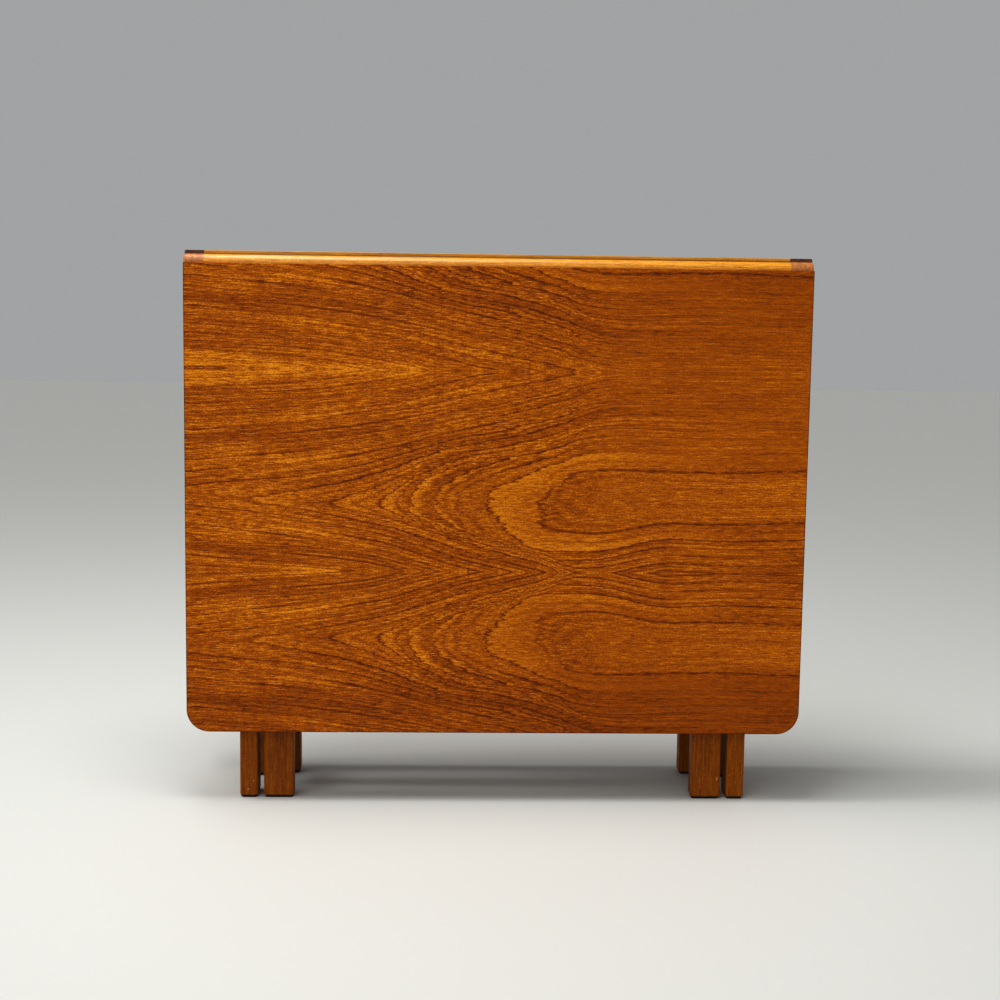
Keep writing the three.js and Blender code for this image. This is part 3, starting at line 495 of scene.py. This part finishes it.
def make_figure():
    """Crown-cut veneer laid in book-matched strips: how far each place is from the log's heart,
    and how many growth rings that makes. Along and From Seam are the place in its own strip."""
    inputs = [("Place", "Vector"), ("Seam", "Float"), ("Way", "Float")]
    labels = ("Along", "From Seam", "Across", "Rings", "Ring Strength", "Ring Width", "Figure And Shade", "Contrast")
    outputs = [(label, "Float") for label in labels]
    tree, source, result = new_group("crown_cut", inputs, outputs)
    parts = separated(tree, source["Place"])
    x = maths(tree, "MULTIPLY", parts[0], source["Way"])
    z = maths(tree, "SUBTRACT", parts[2], source["Seam"])
    from_seam = maths(tree, "PINGPONG", z, STRIP_WIDTH)
    folded = combined(tree, x, from_seam, 0.0)
    waver = spread(tree, streaks(tree, folded, (4, 9, 1), 0.0, 2.2), 0.2, 0.8, -0.006, 0.006, False)
    jags = spread(tree, streaks(tree, folded, (45, 330, 1), 1.0, 7.2), 0.25, 0.75, -0.006, 0.006, False)
    lobes = spread(tree, streaks(tree, folded, (9, 60, 1), 1.0, 3.2), 0.25, 0.75, -0.009, 0.009, False)
    off = maths(tree, "SUBTRACT", from_seam, 0.0928)
    off = maths(tree, "ADD", off, waver)
    beyond = maths(tree, "MAXIMUM", off, 0.0)
    along = maths(tree, "MULTIPLY_ADD", beyond, -0.2, x)
    ragged = maths(tree, "ADD", jags, lobes)
    ragged = maths(tree, "MULTIPLY", ragged, spread(tree, x, -0.16, -0.04, 0.35, 1.0))
    ragged = maths(tree, "MULTIPLY", ragged, spread(tree, from_seam, 0.005, 0.05, 0.15, 1.0))
    along = maths(tree, "ADD", along, ragged)
    seamward = maths(tree, "MAXIMUM", maths(tree, "MULTIPLY", off, -1.0), 0.0)
    slant = maths(tree, "MULTIPLY", spread(tree, x, -0.04, 0.05), seamward)
    leaning = maths(tree, "MULTIPLY_ADD", slant, 0.8, along)
    opened = []
    for line, low_power, high_power in ((along, 1.15, 1.4), (leaning, 2.0, 1.9)):
        curve = tree.nodes.new("ShaderNodeFloatCurve")
        points = curve.mapping.curves[0].points
        while len(points) < len(NOSE):
            points.new(0.5, 0.5)
        for point, (station, opening) in zip(points, NOSE):
            point.location = ((station + REACH) / (2 * REACH), opening / WIDEST)
            point.handle_type = "AUTO_CLAMPED"
        curve.mapping.update()
        put(curve.inputs["Value"], spread(tree, line, -REACH, REACH, 0.0, 1.0, False))
        opening = maths(tree, "MULTIPLY", curve.outputs[0], WIDEST)
        power = spread(tree, off, -0.02, 0.02, low_power, high_power)
        rise = maths(tree, "POWER", maths(tree, "ABSOLUTE", off), power)
        total = maths(tree, "ADD", rise, maths(tree, "POWER", opening, power))
        opened.append(maths(tree, "POWER", total, maths(tree, "DIVIDE", 1.0, power)))
    fan, loops = opened
    near = spread(tree, fan, 0.118, 0.100)
    across = maths(tree, "MULTIPLY_ADD", maths(tree, "SUBTRACT", loops, fan), near, fan)
    below = spread(tree, off, -0.025, 0.0, 0.020, 0.0)
    bend = maths(tree, "MULTIPLY", spread(tree, x, 0.12, 0.238), below)
    across = maths(tree, "ADD", across, bend)
    past = maths(tree, "SUBTRACT", across, 0.067)
    close = maths(tree, "DIVIDE", past, 0.0098)
    wide = maths(tree, "DIVIDE", past, 0.022)
    past_heart = spread(tree, across, 0.043, 0.046)
    inside = maths(tree, "MULTIPLY", past_heart, spread(tree, across, 0.068, 0.066))
    loop = maths(tree, "MULTIPLY", inside, spread(tree, x, 0.30, 0.10))
    tips = spread(tree, from_seam, 0.235, 0.262)
    tips = maths(tree, "MULTIPLY", tips, spread(tree, x, 0.05, -0.15))
    put(result["Along"], x)
    put(result["From Seam"], from_seam)
    put(result["Across"], across)
    put(result["Rings"], maths(tree, "ADD", maths(tree, "MAXIMUM", close, wide), 20.0))
    steep = maths(tree, "DIVIDE", maths(tree, "ABSOLUTE", off), across)
    width = spread(tree, steep, 0.0, 0.45, 0.09, 0.24)
    width = maths(tree, "MULTIPLY", width, spread(tree, across, 0.066, 0.067, 0.45, 1.0))
    put(result["Ring Width"], width)
    heart = spread(tree, across, 0.030, 0.040, 0.15, 1.0)
    strength = maths(tree, "MULTIPLY", heart, spread(tree, across, 0.085, 0.070, 1.0, 1.4))
    strength = maths(tree, "MULTIPLY", strength, spread(tree, across, 0.13, 0.17, 1.0, 0.6))
    plainer = maths(tree, "MULTIPLY", spread(tree, x, 0.04, 0.20), spread(tree, off, 0.03, 0.07))
    strength = maths(tree, "MULTIPLY", strength, spread(tree, plainer, 0.0, 1.0, 1.0, 0.4))
    put(result["Ring Strength"], strength)
    contrast = spread(tree, x, 0.04, 0.30, 1.0, 0.8)
    contrast = maths(tree, "MULTIPLY", contrast, spread(tree, loop, 0.0, 1.0, 1.0, 0.7))
    contrast = maths(tree, "MULTIPLY", contrast, spread(tree, plainer, 0.0, 1.0, 1.0, 0.75))
    put(result["Contrast"], contrast)
    inner_line = spread(tree, across, 0.0425, 0.0440)
    inner_line = maths(tree, "MULTIPLY", inner_line, spread(tree, across, 0.0468, 0.0445))
    inner_line = maths(tree, "MULTIPLY", inner_line, spread(tree, x, 0.07, 0.18, -2.5, -0.9))
    loop = maths(tree, "ADD", inner_line, loop)
    loop = maths(tree, "ADD", loop, spread(tree, across, 0.0425, 0.030, 0.0, 0.35))
    hollow = spread(tree, maths(tree, "ABSOLUTE", off), 0.045, 0.0)
    hollow = maths(tree, "MULTIPLY", hollow, spread(tree, x, -0.02, -0.20))
    bright = maths(tree, "MULTIPLY", loop, spread(tree, z, -0.002, 0.002, 0.55, 1.0))
    bright = maths(tree, "MULTIPLY_ADD", hollow, spread(tree, z, -0.002, 0.002, 0.25, 0.6), bright)
    figure_and_shade = maths(tree, "MULTIPLY_ADD", tips, 0.5, bright)
    # Painted shade: the face is made darker towards its bottom and its top, more so at the right, as if
    # less light fell there.
    low_painted_shade = spread(tree, parts[2], 0.21, 0.14, 0.0, 0.8)
    low_painted_shade = maths(tree, "MULTIPLY", low_painted_shade, spread(tree, x, -0.05, 0.1, 1.0, 1.5))
    high_painted_shade = spread(tree, parts[2], 0.58, 0.70, 0.0, 0.7)
    high_painted_shade = maths(tree, "MULTIPLY", high_painted_shade, spread(tree, x, -0.15, 0.1, 0.4, 1.0))
    figure_and_shade = maths(tree, "SUBTRACT", maths(tree, "SUBTRACT", figure_and_shade, low_painted_shade), high_painted_shade)
    put(result["Figure And Shade"], figure_and_shade)
    return tree


figure = make_figure()
LEAF_TEAK = [
    (0.0, (0.115, 0.022, 0.0006)), (0.35, (0.255, 0.058, 0.0010)),
    (0.6, (0.376, 0.097, 0.0016)), (1.0, (0.74, 0.300, 0.0120)),
]


def crown_veneer(name, seam, way):
    material, tree, shader, place = new_material(name, 0.42, specular=0.08)
    cut = placed(tree, figure, Place=place, Seam=seam, Way=way)
    folded = combined(tree, cut["Along"], cut["From Seam"], 0.0)
    wood = placed(tree, grain, Place=folded, Across=cut["Across"], Rings=cut["Rings"],
                  Ring_Strength=cut["Ring Strength"], Ring_Width=cut["Ring Width"],
                  Pore_Strength=1.0)
    tone = maths(tree, "MULTIPLY_ADD", maths(tree, "SUBTRACT", wood["Tone"], 0.55), cut["Contrast"], 0.55)
    # The figure's lighter loops, plus the painted shade of the face's top and bottom.
    tone = maths(tree, "MULTIPLY_ADD", cut["Figure And Shade"], 0.16, tone)
    parts = separated(tree, place)
    from_middle = maths(tree, "ABSOLUTE", parts[0])
    aside = maths(tree, "SUBTRACT", from_middle, solid_high.x - LEAF_CORNER)
    aside = maths(tree, "MAXIMUM", aside, 0.0)
    under = maths(tree, "MAXIMUM", maths(tree, "SUBTRACT", LEAF_LOW + LEAF_CORNER, parts[2]), 0.0)
    squares = [maths(tree, "MULTIPLY", part, part) for part in (aside, under)]
    reach = maths(tree, "SQRT", maths(tree, "ADD", *squares))
    rim = spread(tree, reach, LEAF_CORNER - 0.0016, LEAF_CORNER - 0.0007, 0.0, 0.65)
    colour = mixed(tree, rim, tinted(tree, tone, LEAF_TEAK), RIM)
    put(shader.inputs["Base Color"], colour)
    put(shader.inputs["Roughness"], spread(tree, wood["Pores"], 0, 1, 0.38, 0.55))
    raised(tree, shader, wood["Relief"])
    return material


leaf_veneers = {
    "front": crown_veneer("front_leaf_veneer", 0.314, 1.0),
    "rear": crown_veneer("rear_leaf_veneer", 0.290, -1.0),
}
leaf_lipping_x = solid_wood("leaf_lipping_along", 0, TOP_TEAK)
leaf_lipping_z = solid_wood("leaf_lipping_up", 2, TOP_TEAK)
stop_teak = solid_wood("stop_teak", 2, LEG_TEAK)


def set_back(shape):
    """Moves a leaf part's outer face in, to leave room for the veneer."""
    for vertex in shape.verts:
        if abs(vertex.co.y) > LEAF_FACE - HAIR:
            vertex.co.y *= (LEAF_FACE - VENEER) / LEAF_FACE


def leaf_outline(steps=12):
    """The leaf's outline in X and Z, with its two lower corners rounded."""
    half = solid_high.x
    points = [(half, LEAF_HIGH), (-half, LEAF_HIGH)]
    for middle, start in (((LEAF_CORNER - half), pi), ((half - LEAF_CORNER), 1.5 * pi)):
        for step in range(steps + 1):
            angle = start + step * pi / 2 / steps
            points.append((middle + LEAF_CORNER * cos(angle), LEAF_LOW + LEAF_CORNER * (1 + sin(angle))))
    return points


LEAF_PARTS = (
    ("panel", top_veneer, "teak_veneer"),
    ("rule_lipping", leaf_lipping_x, "lipping_teak"),
    ("edge_lipping", leaf_lipping_x, "lipping_teak"),
)
for side, way in (("front", -1), ("rear", 1)):
    leaf = f"{side}_leaf"
    for part, material, slot in LEAF_PARTS:
        shape = copied(f"{leaf}_{part}")
        set_back(shape)
        shape.normal_update()
        for face in shape.faces:
            at_end = abs(face.calc_center_median().x) > END_LIPPING_X
            face.material_index = int(part == "edge_lipping" and at_end)
        finished(shape, f"worked_{leaf}_{part}", [material, leaf_lipping_z], leaf, slot, f"{leaf}_{part}")
    shape = bmesh.new()
    back = [shape.verts.new((x, way * (LEAF_FACE - VENEER), z)) for x, z in leaf_outline()]
    sheet = shape.faces.new(back)
    grown = bmesh.ops.extrude_face_region(shape, geom=[sheet])["geom"]
    for item in grown:
        if isinstance(item, bmesh.types.BMVert):
            item.co.y = way * LEAF_FACE
    bmesh.ops.recalc_face_normals(shape, faces=shape.faces)
    eased(shape, VENEER_ROUNDING, lambda edge: all(abs(v.co.y) > LEAF_FACE - HAIR for v in edge.verts))
    finished(shape, f"{leaf}_face_veneer", [leaf_veneers[side]], leaf, "teak_veneer")
    stop = copied(f"{leaf}_gate_stop")
    eased(stop, STOP_ROUNDING)
    finished(stop, f"worked_{leaf}_gate_stop", [stop_teak], leaf, "lipping_teak", f"{leaf}_gate_stop")

# ---- The hinges ----
# Brass back-flap hinges carry the leaves, three screws in each flap, and brass butt hinges carry
# the gates. The metal has dulled with age.
AGED_BRASS = [(0.35, (0.19, 0.11, 0.035)), (0.65, (0.46, 0.30, 0.10))]
DULL_STEEL = [(0.35, (0.22, 0.20, 0.18)), (0.65, (0.42, 0.40, 0.37))]
brass, tree, shader, place = new_material("aged_brass", 0.32, metallic=1.0)
cloud = streaks(tree, place, (60, 60, 60), 3.0)
put(shader.inputs["Base Color"], tinted(tree, cloud, AGED_BRASS))
put(shader.inputs["Roughness"], spread(tree, cloud, 0.35, 0.65, 0.5, 0.28))
steel, tree, shader, place = new_material("hinge_steel", 0.35, metallic=1.0)
cloud = streaks(tree, place, (150, 150, 150), 2.0)
put(shader.inputs["Base Color"], tinted(tree, cloud, DULL_STEEL))
put(shader.inputs["Roughness"], spread(tree, cloud, 0.35, 0.65, 0.5, 0.3))
PIN_LOW, PIN_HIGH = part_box("front_right_flap_hinge_pin")
HINGE_X, PIN_Y, PIN_Z = (PIN_LOW + PIN_HIGH) / 2
FLAP_FACE = 0.0027
SCREW_SIDE = 0.0127
SCREW_NEAR = 0.0099
FIXED_SCREW_FAR = 0.0277
MOVING_SCREW_FAR = 0.0477
SCREW_RADIUS = 0.00205
SCREW_SUNK = 0.0001
SCREW_ROUNDING = 0.00012
SLOT_WIDTH = 0.0006
SLOT_DEPTH = 0.0005
HALF_ROUND_STEPS = 10


def drawn_out(shape, points, to_z):
    """A flat face through the points, drawn out into a block that ends at the height to_z."""
    face = shape.faces.new([shape.verts.new(point) for point in points])
    grown = bmesh.ops.extrude_face_region(shape, geom=[face])["geom"]
    for item in grown:
        if isinstance(item, bmesh.types.BMVert):
            item.co.z = to_z


def screw(name, place, outwards, turn, body, radius=SCREW_RADIUS, slot_width=SLOT_WIDTH):
    """A slotted screw's head: two half rounds on a disc, with its slot turned by an angle."""
    shape = bmesh.new()
    start = asin(slot_width / 2 / radius)
    for way in (1, -1):
        rim = []
        for step in range(HALF_ROUND_STEPS + 1):
            angle = start + (pi - 2 * start) * step / HALF_ROUND_STEPS
            rim.append((radius * cos(angle), way * radius * sin(angle), -SLOT_DEPTH))
        drawn_out(shape, rim, 0)
    base = []
    for step in range(2 * HALF_ROUND_STEPS):
        angle = pi * step / HALF_ROUND_STEPS
        base.append((radius * cos(angle), radius * sin(angle), -2 * SLOT_DEPTH))
    drawn_out(shape, base, -SLOT_DEPTH)
    bmesh.ops.recalc_face_normals(shape, faces=shape.faces)
    eased(shape, SCREW_ROUNDING, lambda edge: min(v.co.z for v in edge.verts) > -1e-6, 2)
    facing = Vector(outwards).to_track_quat("Z", "X").to_matrix() @ Matrix.Rotation(turn, 3, "Z")
    shape.transform(Matrix.Translation(place) @ facing.to_4x4())
    finished(shape, name, [brass], body, "hinge_brass")


def worked_hinge_part(node, material, body, slot):
    finished(copied(node), "worked_" + node, [material], body, slot, node)


# From the pin: how far a flap's three screws are to the side, and along the fixed and moving flap.
FLAP_SCREWS = (
    (-SCREW_SIDE, SCREW_NEAR, SCREW_NEAR),
    (SCREW_SIDE, SCREW_NEAR, SCREW_NEAR),
    (0.0, FIXED_SCREW_FAR, MOVING_SCREW_FAR),
)
for side, turn in (("front", 0.0), ("rear", pi)):
    spin = Matrix.Rotation(turn, 3, "Z")
    leaf = f"{side}_leaf"
    for hand, hinge_x in (("left", -HINGE_X), ("right", HINGE_X)):
        name = f"{side}_{hand}_flap_hinge"
        worked_hinge_part(name + "_fixed_flap", brass, "stand", "hinge_brass")
        worked_hinge_part(name + "_moving_flap", brass, leaf, "hinge_brass")
        worked_hinge_part(name + "_pin", steel, "stand", "hinge_steel")
        for number, (aside, fixed_reach, moving_reach) in enumerate(FLAP_SCREWS):
            x = hinge_x + aside
            spot = spin @ Vector((x, PIN_Y + fixed_reach, PIN_Z - FLAP_FACE + SCREW_SUNK))
            angle = 0.7 + 1.9 * number + hinge_x
            screw(f"{name}_fixed_screw_{number}", spot, (0, 0, -1), angle, "stand")
            spot = spin @ Vector((x, PIN_Y + FLAP_FACE - SCREW_SUNK, PIN_Z - moving_reach))
            angle = 0.3 + 2.3 * number + hinge_x
            screw(f"{name}_moving_screw_{number}", spot, spin @ Vector((0, 1, 0)), angle, leaf)
    for level in ("upper", "lower"):
        for part in ("fixed", "moving"):
            plate = f"{side}_gate_{level}_hinge_{part}_plate"
            worked_hinge_part(plate, brass, "stand", "hinge_brass")

# ---- The top's screws ----
# Six long slotted screws go up through the top rails into the centre board. Their heads stand a
# little proud of the rails' undersides, by more than their slots are deep.
RAIL_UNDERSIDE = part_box("long_top_rail")[0].z
END_RAIL_LOW, END_RAIL_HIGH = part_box("right_end_top_rail")
END_RAIL_X = (END_RAIL_LOW.x + END_RAIL_HIGH.x) / 2
END_SCREW_Y = 0.022
LONG_RAIL_SCREW_X = 0.15
TOP_SCREW_PROUD = 0.0007
TOP_SCREW_RADIUS = 0.0042
TOP_SLOT_WIDTH = 0.0011
TOP_SCREWS = (
    (-END_RAIL_X, -END_SCREW_Y), (-END_RAIL_X, END_SCREW_Y),
    (-LONG_RAIL_SCREW_X, 0), (LONG_RAIL_SCREW_X, 0),
    (END_RAIL_X, -END_SCREW_Y), (END_RAIL_X, END_SCREW_Y),
)
for number, (x, y) in enumerate(TOP_SCREWS):
    spot = Vector((x, y, RAIL_UNDERSIDE - TOP_SCREW_PROUD))
    screw(f"top_screw_{number}", spot, (0, 0, -1), 0.4 + 1.3 * number, "stand",
          TOP_SCREW_RADIUS, TOP_SLOT_WIDTH)

# ---- The floor and the light ----
# A pale floor under a broad ceiling light, with a soft light from the front and the left, and a
# sharper one from the left and above.
floor_shape = bmesh.new()
bmesh.ops.create_grid(floor_shape, x_segments=1, y_segments=1, size=9.0)
floor_mesh = bpy.data.meshes.new("floor")
floor_shape.to_mesh(floor_mesh)
floor_shape.free()
floor = bpy.data.objects.new("floor", floor_mesh)
scene.collection.objects.link(floor)
pale, tree, shader, place = new_material("pale_floor", 0.7)
shader.inputs["Base Color"].default_value = (0.50, 0.502, 0.478, 1)
floor_mesh.materials.append(pale)

CEILING_PLACE = Vector((-0.50, -0.30, 2.4))
CEILING_TARGET = Vector((-0.45, -0.25, 0.0))
ceiling = bpy.data.lights.new("ceiling_light", "AREA")
ceiling.shape = "RECTANGLE"
ceiling.size, ceiling.size_y = 1.5, 0.9
ceiling.energy = 58
lamp = bpy.data.objects.new("ceiling_light", ceiling)
lamp.location = CEILING_PLACE
lamp.rotation_euler = (CEILING_TARGET - CEILING_PLACE).to_track_quat("-Z", "Y").to_euler()
scene.collection.objects.link(lamp)
for name, towards, power, breadth in (("front_light", (-0.50, -1.0, 0.60), 1.30, 60),
                                      ("side_light", (-0.75, -0.06, 1.0), 1.0, 14)):
    lamp = bpy.data.objects.new(name, bpy.data.lights.new(name, "SUN"))
    lamp.data.energy = power
    lamp.data.angle = radians(breadth)
    lamp.rotation_euler = Vector(towards).to_track_quat("Z", "Y").to_euler()
    scene.collection.objects.link(lamp)
world = bpy.data.worlds.new("studio")
scene.world = world
world.use_nodes = True
sky = world.node_tree.nodes["Background"]
sky.inputs["Color"].default_value = (0.98, 0.99, 1.0, 1)
sky.inputs["Strength"].default_value = 0.45
